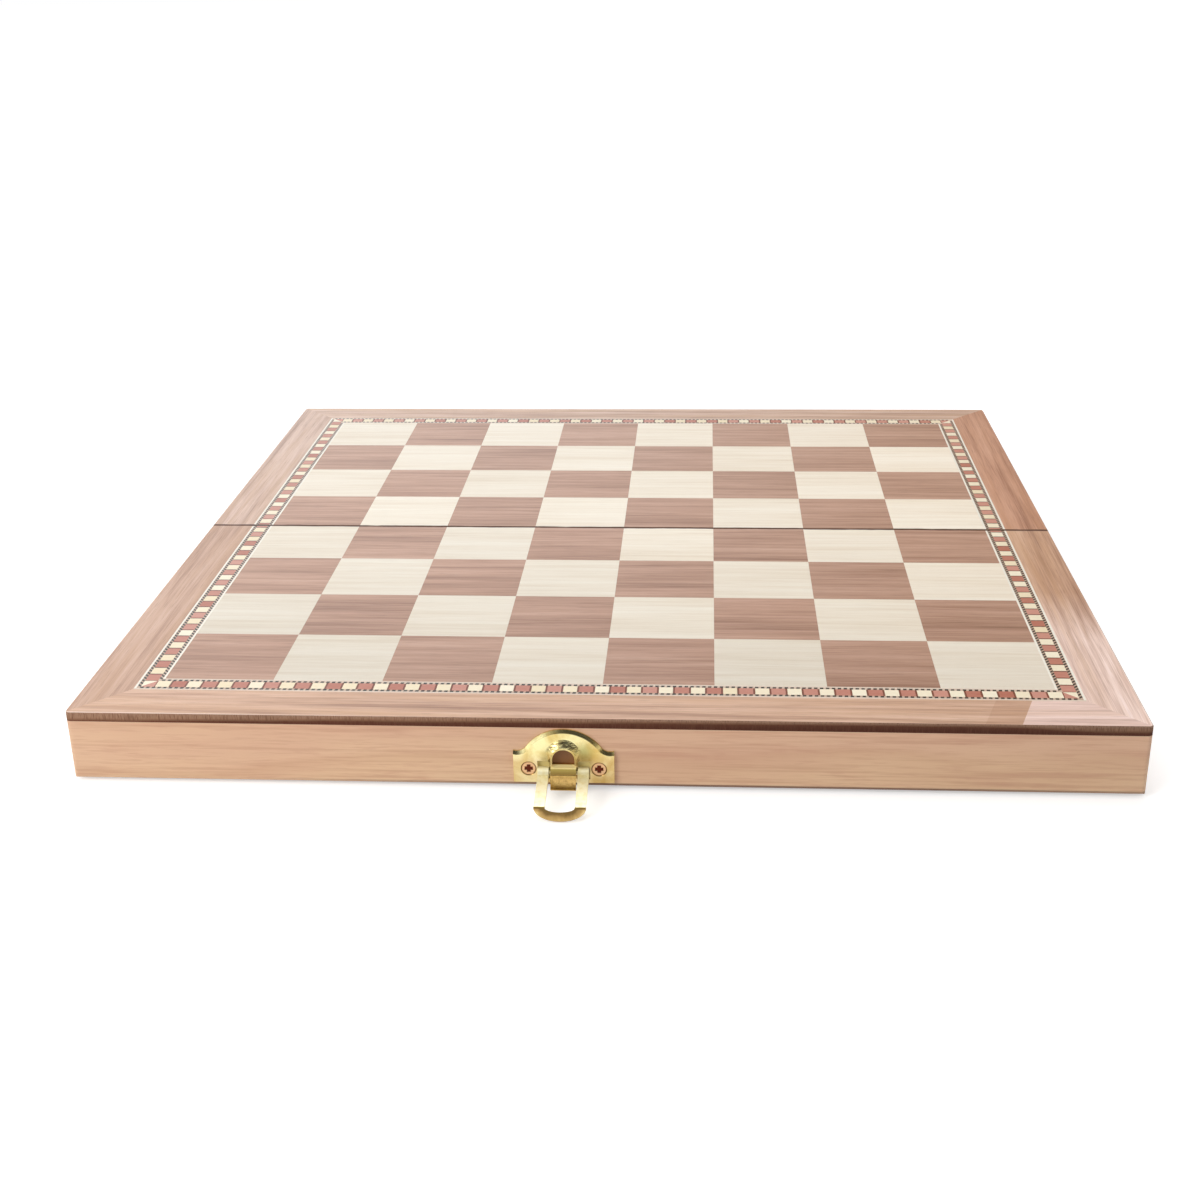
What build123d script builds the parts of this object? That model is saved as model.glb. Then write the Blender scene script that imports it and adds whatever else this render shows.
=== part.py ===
# Folding chess board: two shallow wooden trays, hinged rim to rim, whose backs make the playing
# surface. It is drawn opened flat, squares upward. Millimetres. X runs along the seam, Y away from
# the side that carries the clasp, Z up. The origin is on the seam, in the plane of the rims.
from build123d import *
import os
from math import asin, atan2, cos, degrees, hypot, sin

os.makedirs("parts", exist_ok=True)

# Each half: a panel glued on four walls
board_width = 290.0
half_depth = 144.8
seam_gap = 0.4  # between the halves when the board lies open
corner_radius = 1.4
panel_thickness = 2.3
wall_height = 17.4
wall_thickness = 8.0
rabbet_depth = 4.0  # the side walls are let into the long walls by this much
rim_easing = 0.4

# Playing surface: a mitred frame, an inlaid band within it, and the squares in what is left
squares_across = 8
frame_width = 14.4
band_width = 7.0
veneer_thickness = 0.5
veneer_easing = 0.3  # along the outer edges and the seam

# Inside of each tray: a lining with two rows of long points
lining_thickness = 0.4
lining_clearance = 0.15
point_thickness = 0.25
points_in_row = 6
point_length = 108.0
point_spacing_gap = 1.2

# Two small butt hinges, let into the rims at the seam
closed_gap = 0.2  # between the rims when the board is shut
hinge_inset = 55.0  # from the board's side to the middle of a hinge
leaf_length = 24.0
leaf_width = 6.8  # from the pin's axis
leaf_thickness = 0.5
leaf_clearance = 0.15
knuckle_radius = 1.1
knuckle_count = 3
knuckle_gap = 0.3
knuckle_relief = 0.3
pin_radius = 0.5
pin_clearance = 0.05
pin_inset = 0.2
leaf_screw_spacing = 14.0

# Clasp on the near long wall
clasp_x = -9.4
plate_lift = 1.4  # from the rim to the straight edge of either plate
clasp_width = 27.2
clasp_height = 15.8
clasp_ear_height = 9.4
ear_width = 3.5
ear_dip = 1.1
plate_thickness = 0.9
bevel_width = 1.0  # across the plate's face, along its arch and ears
bevel_depth = 0.45
clasp_screw_spacing = 19.0
clasp_screw_height = 4.1
hole_width = 6.0
hole_height = 4.8
hole_bottom = 5.55  # above the plate's straight edge
hood_margin = 1.3
hood_reach = 2.6
hood_rim = 0.5
hood_depth = 1.0
tongue_width = 6.9
tongue_thickness = 0.75
tongue_bend_out = 2.05  # the tongue bends twice: each bend's distance out and its fall from the root
tongue_bend_drop = 0.38
tongue_knee_out = 3.25
tongue_knee_drop = 1.68
tongue_end_out = 4.1
tongue_end_drop = 5.48
window_clearance = 0.2
window_height = 5.4
window_rise = 0.95  # the windows' top edge above the hole's bottom edge

# Swinging loop, held under the plate's tongue
loop_half_width = 6.9
strap_width = 2.95
loop_thickness = 1.0
loop_bar_radius = 0.55
loop_eye_radius = 1.6
loop_bar_out = 1.75  # from the wall's face to the bar's axis
loop_bar_height = 4.95  # above the rim
strap_knee_out = 2.6
strap_knee_height = 4.3
strap_end_out = 15.4
strap_end_height = 1.9
lip_end_out = 17.6
lip_bow = 1.2  # how far the opening runs into the lip
floor_clearance = 0.02

# Catch plate on the far long wall
catch_width = 24.0
catch_height = 12.6
catch_ear_height = 7.6
catch_screw_spacing = 17.0
catch_screw_height = 3.8
hook_width = 6.0
hook_thickness = 0.9
hook_height = 6.5  # above the plate's straight edge
hook_knee_out = 2.4
hook_tip_out = 3.9
hook_tip_rise = 0.75
hook_hole_height = 2.4

# Countersunk screws
screw_clearance = 0.05
recess_length = 0.62  # of the cross, against the head's width
recess_width = 0.28
recess_depth = 0.3
shank_sides = 12  # shank and pilot hole are hidden in the wood, so they have few sides
small_head_radius = 1.3
small_shank_radius = 0.8
small_screw_length = 6.0
plate_head_radius = 1.9
plate_head_sink = 0.15  # of the plates' screw heads, below the face
plate_shank_radius = 1.0
plate_screw_length = 6.5

# Places that follow from the sizes above
near, far = -1, 1
side_x = board_width / 2
edge_y = half_depth + seam_gap / 2
seam_y = seam_gap / 2
panel_z = wall_height
veneer_z = panel_z + panel_thickness
band_x = side_x - frame_width
band_y = edge_y - frame_width
field_x = band_x - band_width
field_y = band_y - band_width
rows_in_half = squares_across // 2
square_width = 2 * field_x / squares_across
square_depth = field_y / rows_in_half
tray_side_x = side_x - wall_thickness
tray_edge_y = edge_y - wall_thickness
tray_seam_y = seam_y + wall_thickness
lining_z = wall_height - lining_thickness
axis_z = -closed_gap / 2
floor_z = axis_z - knuckle_radius
knuckle_length = (leaf_length - (knuckle_count - 1) * knuckle_gap) / knuckle_count
leaf_screw_y = (leaf_width + knuckle_radius) / 2
hinge_places = {"left": hinge_inset - side_x, "right": side_x - hinge_inset}
strap_centre = loop_half_width - strap_width / 2


def save(shape, name):
    export_step(shape, "parts/" + name + ".step")


def block(corners, bottom, height):
    """A flat-sided piece: a polygon in plan, carried straight up."""
    return Pos(0, 0, bottom) * extrude(make_face(Polyline(*corners, close=True)), height)


def sided(points, side):
    """Plan points given for the far half, turned to the half that is asked for."""
    return [(x, side * y) for x, y in points]


def plan(side, bottom, height):
    """The whole outline of one half, with its two outer corners rounded."""
    corners = [(-side_x, seam_y), (side_x, seam_y), (side_x, edge_y), (-side_x, edge_y)]
    solid = block(sided(corners, side), bottom, height)
    outer = solid.edges().filter_by(Axis.Z).group_by(Axis.Y)[-1 if side == far else 0]
    return fillet(outer, corner_radius)


def eased_sheet(side):
    """The whole sheet of veneer on one half, with its upper edges eased."""
    sheet = plan(side, veneer_z, veneer_thickness)
    return chamfer(sheet.edges().group_by(Axis.Z)[-1], veneer_easing)


def mitred_strips(side, outer_x, inner_x, outer_y, inner_y):
    """Three strips round the squares, open at the seam and mitred where they meet."""
    left = [(-outer_x, seam_y), (-inner_x, seam_y), (-inner_x, inner_y), (-outer_x, outer_y)]
    long = [(-outer_x, outer_y), (-inner_x, inner_y), (inner_x, inner_y), (outer_x, outer_y)]
    right = [(outer_x, seam_y), (inner_x, seam_y), (inner_x, inner_y), (outer_x, outer_y)]
    whole = eased_sheet(side)
    return [block(sided(strip, side), veneer_z, veneer_thickness) & whole for strip in (left, long, right)]


def squares(side, colour):
    """One half's squares of one colour; the near left corner square is dark."""
    found = []
    sheet = eased_sheet(side)
    for column in range(squares_across):
        for row in range(rows_in_half):
            rank = row + rows_in_half if side == far else rows_in_half - 1 - row
            if (column + rank) % 2 != colour:
                continue
            left = column * square_width - field_x
            right = left + square_width
            inner = max(row * square_depth, seam_y)
            outer = (row + 1) * square_depth
            corners = [(left, inner), (right, inner), (right, outer), (left, outer)]
            square = block(sided(corners, side), veneer_z, veneer_thickness)
            found.append(square if row else square & sheet)
    return Compound(children=found)


def long_wall(side, outside, inside):
    """A full-width wall; its ends are rabbeted on the tray side to take the side walls."""
    step = outside + (rabbet_depth if inside > outside else -rabbet_depth)
    corners = [(-side_x, outside), (side_x, outside), (side_x, step), (tray_side_x, step),
               (tray_side_x, inside), (-tray_side_x, inside), (-tray_side_x, step), (-side_x, step)]
    return block(sided(corners, side), 0, wall_height)


def outer_wall(side):
    """The long wall away from the seam, its rim eased and its corners rounded with the panel's."""
    wall = long_wall(side, edge_y, tray_edge_y)
    rim = wall.edges().filter_by(Axis.X).group_by(Axis.Z)[0].group_by(Axis.Y)
    return chamfer(rim[-1 if side == far else 0], rim_easing) & plan(side, 0, wall_height)


def side_wall(side, hand):
    """A short wall between the two long ones, let into their rabbets."""
    inner_y = seam_y + rabbet_depth
    outer_y = edge_y - rabbet_depth
    corners = [(hand * tray_side_x, inner_y), (hand * side_x, inner_y), (hand * side_x, outer_y),
               (hand * tray_side_x, outer_y)]
    wall = block(sided(corners, side), 0, wall_height)
    rim = wall.edges().filter_by(Axis.Y).group_by(Axis.Z)[0].group_by(Axis.X)
    return chamfer(rim[-1 if hand > 0 else 0], rim_easing)


def hinge_wall(side):
    """The wall along the seam, with a mortise, a groove and screw holes for each hinge."""
    wall = long_wall(side, seam_y, tray_seam_y)
    for x in hinge_places.values():
        half = leaf_length / 2 + leaf_clearance
        reach = leaf_width + leaf_clearance
        mortise = [(x - half, 0), (x + half, 0), (x + half, reach), (x - half, reach)]
        wall -= block(sided(mortise, side), 0, leaf_thickness)
        wall -= x_rod(x, 0, axis_z, knuckle_radius + knuckle_relief, leaf_length + 2 * knuckle_relief)
        wall -= leaf_screw_holes(x, side)
    return wall


def x_rod(x, y, z, radius, length):
    return Pos(x, y, z) * Rot(0, 90, 0) * Cylinder(radius, length)


def screw_body(head_radius, shank_radius, length, grow=0.0):
    """Countersunk screw pointing up from a head that lies in the XY plane, or the hole for it."""
    cone_end = head_radius - shank_radius
    cone = Polyline((0, -grow), (head_radius + 2 * grow, -grow), (shank_radius + grow, cone_end),
                    (0, cone_end), close=True)
    head = revolve(Plane.XZ * make_face(cone), Axis.Z)
    shank = extrude(RegularPolygon(shank_radius + grow, shank_sides), length + grow - cone_end)
    return head + Pos(0, 0, cone_end) * shank


def screw(head_radius, shank_radius, length):
    """The screw itself, with a cross recess in its head."""
    long = 2 * head_radius * recess_length
    wide = 2 * head_radius * recess_width
    cross = Rectangle(long, wide) + Rectangle(wide, long)
    return screw_body(head_radius, shank_radius, length) - extrude(cross, recess_depth)


def leaf_screw_places(x, side):
    half = leaf_screw_spacing / 2
    return [Pos(x + offset, side * leaf_screw_y, 0) for offset in (-half, half)]


def leaf_screw_holes(x, side):
    hole = screw_body(small_head_radius, small_shank_radius, small_screw_length, screw_clearance)
    return [place * hole for place in leaf_screw_places(x, side)]


def hinge_leaf(x, side):
    """A leaf flush with the rim, with its own knuckles: the outer ones near, the middle one far."""
    gap_y = knuckle_radius + leaf_clearance
    plate = [(x - leaf_length / 2, gap_y), (x + leaf_length / 2, gap_y), (x + leaf_length / 2, leaf_width),
             (x - leaf_length / 2, leaf_width)]
    leaf = block(sided(plate, side), 0, leaf_thickness)
    own = range(1, knuckle_count, 2) if side == far else range(0, knuckle_count, 2)
    for index in own:
        start = x - leaf_length / 2 + index * (knuckle_length + knuckle_gap)
        web = [(start, 0), (start + knuckle_length, 0), (start + knuckle_length, gap_y), (start, gap_y)]
        leaf += block(sided(web, side), 0, leaf_thickness)
        leaf += x_rod(start + knuckle_length / 2, 0, axis_z, knuckle_radius, knuckle_length)
    leaf -= x_rod(x, 0, axis_z, pin_radius + pin_clearance, leaf_length + 1)
    return leaf - leaf_screw_holes(x, side)


def lining(side):
    half = tray_side_x - lining_clearance
    low, high = tray_seam_y + lining_clearance, tray_edge_y - lining_clearance
    corners = [(-half, low), (half, low), (half, high), (-half, high)]
    return block(sided(corners, side), lining_z, lining_thickness)


def points(side, colour):
    """Long triangles from both side walls, in turn dark and light along the tray."""
    found = []
    low, high = tray_seam_y + lining_clearance, tray_edge_y - lining_clearance
    pitch = (high - low) / points_in_row
    base = tray_side_x - lining_clearance
    for index in range(points_in_row):
        start = low + index * pitch + point_spacing_gap / 2
        end = start + pitch - point_spacing_gap
        for hand in (-1, 1):
            if (index + (hand > 0) + (side == far)) % 2 != colour:
                continue
            tip = (hand * (base - point_length), (start + end) / 2)
            corners = [(hand * base, start), tip, (hand * base, end)]
            found.append(block(sided(corners, side), lining_z - point_thickness, point_thickness))
    return Compound(children=found)


def wall_plane(side):
    """Drawing plane on a long wall's outer face: its normal points out and its Y is up."""
    return Plane(origin=(clasp_x, side * edge_y, 0), x_dir=(-side, 0, 0), z_dir=(0, side, 0))


def arched_outline(width, height, ear_height):
    """Straight foot and sides, two hollow shoulders and a round arch between them."""
    half = width / 2
    shoulder = half - ear_width
    shoulder_y = ear_height + ear_dip
    rise = height - shoulder_y
    radius = (shoulder ** 2 + rise ** 2) / (2 * rise)
    slope = asin(shoulder / radius)
    arch = ThreePointArc((-shoulder, shoulder_y), (0, height), (shoulder, shoulder_y))
    right_ear = TangentArc((shoulder, shoulder_y), (half, ear_height), tangent=(cos(slope), -sin(slope)))
    left_ear = TangentArc((-shoulder, shoulder_y), (-half, ear_height), tangent=(-cos(slope), -sin(slope)))
    foot = Polyline((-half, ear_height), (-half, 0), (half, 0), (half, ear_height))
    return make_face(Curve() + [arch, right_ear, left_ear, foot])


def arched_plate(width, height, ear_height):
    """The plate, with a wide bevel along the front of its arch and ears."""
    plate = extrude(arched_outline(width, height, ear_height), plate_thickness)
    face = plate.faces().sort_by(Axis.Z)[-1]
    arcs = face.edges().filter_by(GeomType.CIRCLE)
    return chamfer(arcs, bevel_width, bevel_depth, reference=face)


def arch_window(width, bottom, height):
    """A flat-footed opening with a half-round top."""
    radius = width / 2
    spring = bottom + height - radius
    sides = Polyline((-radius, spring), (-radius, bottom), (radius, bottom), (radius, spring))
    top = ThreePointArc((-radius, spring), (0, spring + radius), (radius, spring))
    return make_face(Curve() + [sides, top])


def thick_line(path, thickness):
    """A bent strip seen from the side: a round-ended bar along each run, joined at the bends."""
    shape = Sketch()
    for (x0, y0), (x1, y1) in zip(path, path[1:]):
        turn = degrees(atan2(y1 - y0, x1 - x0))
        bar = Rectangle(hypot(x1 - x0, y1 - y0), thickness)
        shape += Pos((x0 + x1) / 2, (y0 + y1) / 2) * Rot(0, 0, turn) * bar
        shape += Pos(x1, y1) * Circle(thickness / 2)
    return shape


def bent_strip(path, thickness, centre, width):
    """A strip bent as it leaves the wall: each path point is the distance out and the height."""
    profile_plane = Plane(origin=(centre + width / 2, 0, 0), x_dir=(0, 0, 1), z_dir=(-1, 0, 0))
    return extrude(profile_plane * thick_line(path, thickness), width)


def wall_rod(out, height, radius, length, centre=0.0):
    """A round bar along the wall, at a distance out from its face and a height above the rim."""
    return Pos(centre, height, out) * Rot(0, 90, 0) * Cylinder(radius, length)


def plate_screw_holes(spacing, height):
    sink = plate_head_sink
    hole = Pos(0, 0, -sink) * screw_body(plate_head_radius + sink, plate_shank_radius,
                                         plate_screw_length + sink, screw_clearance)
    return [place * hole for place in plate_screw_places(spacing, height)]


def plate_screw_places(spacing, height):
    """Heads a little below the plate's face, points into the wall."""
    face = plate_thickness - plate_head_sink
    return [Pos(x, height, face) * Rot(180, 0, 0) for x in (-spacing / 2, spacing / 2)]


def clasp_plate():
    """Stamped plate: arch, hood over a round-topped hole, tongue from the hole's foot, two windows."""
    plate = arched_plate(clasp_width, clasp_height, clasp_ear_height)
    base = Pos(0, 0, plate_thickness) * arch_window(hole_width + 2 * hood_margin, hole_bottom,
                                                    hole_height + hood_reach)
    crown = Pos(0, 0, plate_thickness + hood_depth) * arch_window(hole_width + 2 * hood_rim, hole_bottom,
                                                                  hole_height + hood_rim)
    plate += loft([base, crown], ruled=True)
    plate -= extrude(arch_window(hole_width, hole_bottom, hole_height), plate_thickness + hood_depth)
    window_width = strap_width + 2 * window_clearance
    window_top = hole_bottom + window_rise
    for hand in (-1, 1):
        place = Pos(hand * strap_centre, window_top - window_height / 2, 0)
        plate -= place * extrude(Rectangle(window_width, window_height), plate_thickness + hood_depth)
    root = hole_bottom - tongue_thickness / 2
    bends = ((tongue_bend_out, tongue_bend_drop), (tongue_knee_out, tongue_knee_drop),
             (tongue_end_out, tongue_end_drop))
    path = [(plate_thickness / 2, root)] + [(out, root - drop) for out, drop in bends]
    plate += bent_strip(path, tongue_thickness, 0, tongue_width)
    return plate - plate_screw_holes(clasp_screw_spacing, clasp_screw_height)


def catch_plate():
    """Stamped plate with a hook that the loop drops over when the board is shut."""
    plate = arched_plate(catch_width, catch_height, catch_ear_height)
    tip = hook_height + hook_tip_rise
    path = [(plate_thickness / 2, hook_height), (hook_knee_out, hook_height), (hook_tip_out, tip)]
    plate += bent_strip(path, hook_thickness, 0, hook_width)
    hole_centre = hook_height + (hook_thickness + hook_hole_height) / 2
    plate -= extrude(Pos(0, hole_centre) * Rectangle(hook_width, hook_hole_height), plate_thickness)
    return plate - plate_screw_holes(catch_screw_spacing, catch_screw_height)


def clasp_loop():
    """Flat loop on a round bar: two straps, an eye at the top of each and a lip bent down to the table."""
    knee = (strap_knee_out, strap_knee_height)
    end = (strap_end_out, strap_end_height)
    loop = wall_rod(loop_bar_out, loop_bar_height, loop_bar_radius, 2 * loop_half_width)
    for hand in (-1, 1):
        centre = hand * strap_centre
        loop += bent_strip([(loop_bar_out, loop_bar_height), knee, end], loop_thickness, centre, strap_width)
        loop += wall_rod(loop_bar_out, loop_bar_height, loop_eye_radius, strap_width, centre)
    steep = Vector(lip_end_out - strap_end_out, floor_z - strap_end_height).normalized()
    lip_end_height = floor_z + floor_clearance + steep.X * loop_thickness / 2
    along = Vector(0, lip_end_height - strap_end_height, lip_end_out - strap_end_out)
    inner = loop_half_width - strap_width
    rim = EllipticalCenterArc((0, 0), loop_half_width, along.length, start_angle=0, arc_size=180)
    opening = EllipticalCenterArc((0, 0), inner, lip_bow, start_angle=0, arc_size=180)
    left = Line((-loop_half_width, 0), (-inner, 0))
    right = Line((inner, 0), (loop_half_width, 0))
    lip_plane = Plane(origin=(0, end[1], end[0]), x_dir=(1, 0, 0), z_dir=Vector(1, 0, 0).cross(along))
    lip = extrude(lip_plane * make_face(Curve() + [rim, left, opening, right]), loop_thickness / 2, both=True)
    return loop + lip


for side, name, clasp_wall in ((near, "near_", "front_wall"), (far, "far_", "rear_wall")):
    frame_strips = mitred_strips(side, side_x, band_x, edge_y, band_y)
    band_strips = mitred_strips(side, band_x, field_x, band_y, field_y)
    save(plan(side, panel_z, panel_thickness), name + "panel")
    save(Compound(children=frame_strips), name + "frame_veneer")
    save(Compound(children=band_strips), name + "inlay_band")
    save(squares(side, 0), name + "dark_squares")
    save(squares(side, 1), name + "light_squares")
    save(side_wall(side, -1), name + "left_wall")
    save(side_wall(side, 1), name + "right_wall")
    save(hinge_wall(side), name + "hinge_wall")
    save(lining(side), name + "field_lining")
    save(points(side, 0), name + "dark_points")
    save(points(side, 1), name + "light_points")
    hinge_screws = []
    for hand, x in hinge_places.items():
        save(hinge_leaf(x, side), name + "hinge_leaf_" + hand)
        screw_solid = screw(small_head_radius, small_shank_radius, small_screw_length)
        hinge_screws += [place * screw_solid for place in leaf_screw_places(x, side)]
    save(Compound(children=hinge_screws), name + "hinge_screws")

    spacing = clasp_screw_spacing if side == near else catch_screw_spacing
    height = clasp_screw_height if side == near else catch_screw_height
    on_wall = wall_plane(side)
    plate_place = on_wall * Pos(0, plate_lift, 0)
    plate_screw = screw(plate_head_radius, plate_shank_radius, plate_screw_length)
    plate_screws = [plate_place * place * plate_screw for place in plate_screw_places(spacing, height)]
    pilot_holes = [plate_place * hole for hole in plate_screw_holes(spacing, height)]
    save(outer_wall(side) - pilot_holes, name + clasp_wall)
    if side == near:
        save(plate_place * clasp_plate(), "clasp_plate")
        save(Compound(children=plate_screws), "clasp_screws")
        save(on_wall * clasp_loop(), "clasp_loop")
    else:
        save(plate_place * catch_plate(), "catch_plate")
        save(Compound(children=plate_screws), "catch_screws")

for hand, x in hinge_places.items():
    save(x_rod(x, 0, axis_z, pin_radius, leaf_length - 2 * pin_inset), "hinge_pin_" + hand)
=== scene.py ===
import math
import bpy
import numpy as np
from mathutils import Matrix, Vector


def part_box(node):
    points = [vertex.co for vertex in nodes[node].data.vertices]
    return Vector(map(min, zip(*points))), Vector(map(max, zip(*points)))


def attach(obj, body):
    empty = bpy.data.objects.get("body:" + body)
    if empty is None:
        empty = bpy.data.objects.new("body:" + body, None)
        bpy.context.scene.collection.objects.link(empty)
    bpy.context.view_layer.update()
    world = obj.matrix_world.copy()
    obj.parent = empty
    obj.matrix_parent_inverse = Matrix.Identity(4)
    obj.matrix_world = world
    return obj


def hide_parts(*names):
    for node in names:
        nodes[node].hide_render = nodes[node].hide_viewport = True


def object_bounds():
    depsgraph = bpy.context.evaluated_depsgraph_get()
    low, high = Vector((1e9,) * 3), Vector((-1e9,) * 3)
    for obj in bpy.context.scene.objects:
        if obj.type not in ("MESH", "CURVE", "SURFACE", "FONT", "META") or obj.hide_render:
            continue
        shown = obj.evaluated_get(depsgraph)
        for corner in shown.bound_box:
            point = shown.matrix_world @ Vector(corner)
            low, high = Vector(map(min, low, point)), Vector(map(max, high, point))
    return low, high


# A folding chess board, opened flat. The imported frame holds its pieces; this script gives them their woods,
# lacquer, brass and inlay, and adds a floor, soft light and a camera. The materials work in millimetres, from
# the object's own coordinates: X along the seam, Y away from the side that carries the clasp, Z up.
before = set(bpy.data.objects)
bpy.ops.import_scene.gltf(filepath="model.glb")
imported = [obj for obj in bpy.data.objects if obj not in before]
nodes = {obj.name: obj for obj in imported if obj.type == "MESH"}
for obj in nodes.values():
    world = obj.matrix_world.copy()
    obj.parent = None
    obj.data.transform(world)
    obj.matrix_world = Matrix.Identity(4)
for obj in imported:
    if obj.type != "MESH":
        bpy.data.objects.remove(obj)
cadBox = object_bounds()
mm = 0.001
print("frame loaded:", len(nodes), "nodes")


def boxOf(name):
    # the two corners of a node's box, in millimetres
    low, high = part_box(name)
    return low / mm, high / mm


halfBoard = boxOf("near_panel")[1].x
halfField = boxOf("near_light_squares")[1].x  # from the board's middle to the side of the squares
surfaceHeight = boxOf("near_frame_veneer")[1].z
wallHeight = boxOf("near_front_wall")[1].z


# Small helpers for node trees

def tint(red, green, blue):
    # a colour written as 0 to 255 on the screen, as the linear value that shaders take
    channels = np.array([red, green, blue]) / 255
    linear = np.where(channels <= 0.04045, channels / 12.92, ((channels + 0.055) / 1.055) ** 2.4)
    return (*linear.tolist(), 1.0)


def put(tree, kind, sockets=None, **settings):
    # adds one node; a socket takes another node's output or a plain value
    made = tree.nodes.new(kind)
    for key, value in settings.items():
        setattr(made, key, value)
    for key, value in (sockets or {}).items():
        if isinstance(value, bpy.types.NodeSocket):
            tree.links.new(value, made.inputs[key])
        else:
            made.inputs[key].default_value = value
    return made


def calc(tree, operation, first, second=0.0, third=0.0):
    # one step of arithmetic
    return put(tree, "ShaderNodeMath", {0: first, 1: second, 2: third}, operation=operation).outputs[0]


def product(tree, first, *others):
    # all the values multiplied
    for other in others:
        first = calc(tree, "MULTIPLY", first, other)
    return first


def above(tree, value, limit):
    # 1 where the value is over the limit, and 0 elsewhere
    return calc(tree, "GREATER_THAN", value, limit)


def below(tree, value, limit):
    # 1 where the value is under the limit, and 0 elsewhere
    return calc(tree, "LESS_THAN", value, limit)


def apart(tree, value, place):
    # distance along one axis between the value and a place
    return calc(tree, "ABSOLUTE", calc(tree, "SUBTRACT", value, place))


def lengthOf(tree, across, up):
    # the root of across squared plus up squared
    return calc(tree, "SQRT", calc(tree, "MULTIPLY_ADD", across, across, calc(tree, "MULTIPLY", up, up)))


def band(tree, value, low, high, start=0.0, end=1.0):
    # value carried from the range low..high to start..end, and held at its ends; an entry with Band in its
    # name holds these numbers in this order
    sockets = {"Value": value, "From Min": low, "From Max": high, "To Min": start, "To Max": end}
    return put(tree, "ShaderNodeMapRange", sockets, clamp=True).outputs[0]


def scaled(tree, vector, factors):
    return put(tree, "ShaderNodeVectorMath", {0: vector, 1: factors}, operation="MULTIPLY").outputs[0]


def shifted(tree, vector, offset):
    return put(tree, "ShaderNodeVectorMath", {0: vector, 1: offset}, operation="ADD").outputs[0]


def joined(tree, x, y, z):
    return put(tree, "ShaderNodeCombineXYZ", {0: x, 1: y, 2: z}).outputs[0]


def split(tree, vector):
    # the three parts of a vector
    return list(put(tree, "ShaderNodeSeparateXYZ", {0: vector}).outputs)


def millimetres(tree):
    # the object's own coordinates in millimetres, whole and split
    whole = scaled(tree, put(tree, "ShaderNodeTexCoord").outputs["Object"], (1 / mm,) * 3)
    return whole, *split(tree, whole)


def pattern(tree, vector, size, detail=3.0, roughness=0.5, distortion=0.0):
    # noise from 0 to 1, where size is the number of features per millimetre along each axis; the dictionaries
    # hold what follows the vector, in this order
    sockets = {"Vector": scaled(tree, vector, size), "Scale": 1.0, "Detail": detail, "Roughness": roughness,
               "Distortion": distortion}
    return put(tree, "ShaderNodeTexNoise", sockets).outputs["Fac"]


def centred(tree, value):
    # a value from 0 to 1 moved to lie round 0
    return calc(tree, "SUBTRACT", value, 0.5)


def ramp(tree, factor, stops):
    # colours read along a list of (place, colour)
    made = put(tree, "ShaderNodeValToRGB", {"Fac": factor})
    elements = made.color_ramp.elements
    while len(elements) < len(stops):
        elements.new(0.5)
    for element, (position, colour) in zip(elements, stops):
        element.position = position
        element.color = colour
    return made.outputs["Color"]


def mixed(tree, factor, first, second, blend="MIX"):
    # the first colour where factor is 0; where it is 1, the second, or with MULTIPLY the two multiplied
    sockets = {0: factor, 6: first, 7: second}
    return put(tree, "ShaderNodeMix", sockets, data_type="RGBA", blend_type=blend).outputs[2]


def toned(tree, colour, tone):
    # the colour made lighter or darker by one factor
    return mixed(tree, 1.0, colour, joined(tree, tone, tone, tone), "MULTIPLY")


def emptyTree(owner):
    # the node tree of a material or a world, with nothing in it yet
    owner.use_nodes = True
    owner.node_tree.nodes.clear()
    return owner.node_tree


def newMaterial(name, roughness, sockets=None):
    material = bpy.data.materials.new(name)
    tree = emptyTree(material)
    shader = put(tree, "ShaderNodeBsdfPrincipled", {"Roughness": roughness, **(sockets or {})})
    put(tree, "ShaderNodeOutputMaterial", {"Surface": shader.outputs[0]})
    return material, tree, shader


def dress(tree, shader, colour, height, depth):
    # gives the shader its colour, and a relief as deep as depth in metres
    tree.links.new(colour, shader.inputs["Base Color"])
    made = put(tree, "ShaderNodeBump", {"Height": height, "Distance": depth, "Strength": 1.0})
    tree.links.new(made.outputs[0], shader.inputs["Normal"])


# Veneer and lacquer

veneerLook = {
    "wide": ((0.007, 0.11, 0.11), 3, 0.5, 0.5),
    "streak": ((0.018, 0.5, 0.5), 4, 0.55, 0.2),
    "fibre": ((0.05, 3.4, 3.4), 3, 0.6),
    "pore": ((0.12, 6.0, 6.0), 2),
    "shares": (0.38, 0.4, 0.28),  # of the wide figure, the streaks and the fibres
    "lower": 0.03,
    "poreBand": (0.60, 0.72),
    "relief": 0.02 * mm,
    "roughness": 0.22,  # of the lacquer over it
    "ior": 1.4,
}


def veneerGrain(tree, vector):
    # grain value: a slow wide figure, streaks and fine fibres added up, all drawn out along X
    wideShare, streakShare, fibreShare = veneerLook["shares"]
    wide = pattern(tree, vector, *veneerLook["wide"])
    streak = pattern(tree, vector, *veneerLook["streak"])
    fibre = pattern(tree, vector, *veneerLook["fibre"])
    value = calc(tree, "MULTIPLY_ADD", wide, wideShare, calc(tree, "MULTIPLY", streak, streakShare))
    value = calc(tree, "MULTIPLY_ADD", fibre, fibreShare, value)
    value = calc(tree, "SUBTRACT", value, veneerLook["lower"])
    pores = band(tree, pattern(tree, vector, *veneerLook["pore"]), *veneerLook["poreBand"])
    return value, fibre, pores


def lacquered(name):
    return newMaterial(name, veneerLook["roughness"], {"IOR": veneerLook["ior"]})


seamShadeLook = {
    "seamShadeBand": (0.55, 0.95, 1.0, 0.0),  # distances from the seam
    "wander": ((0.12, 0.5, 0.5), 3),
    "seamShadeColour": tint(88, 58, 44),
}


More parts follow.
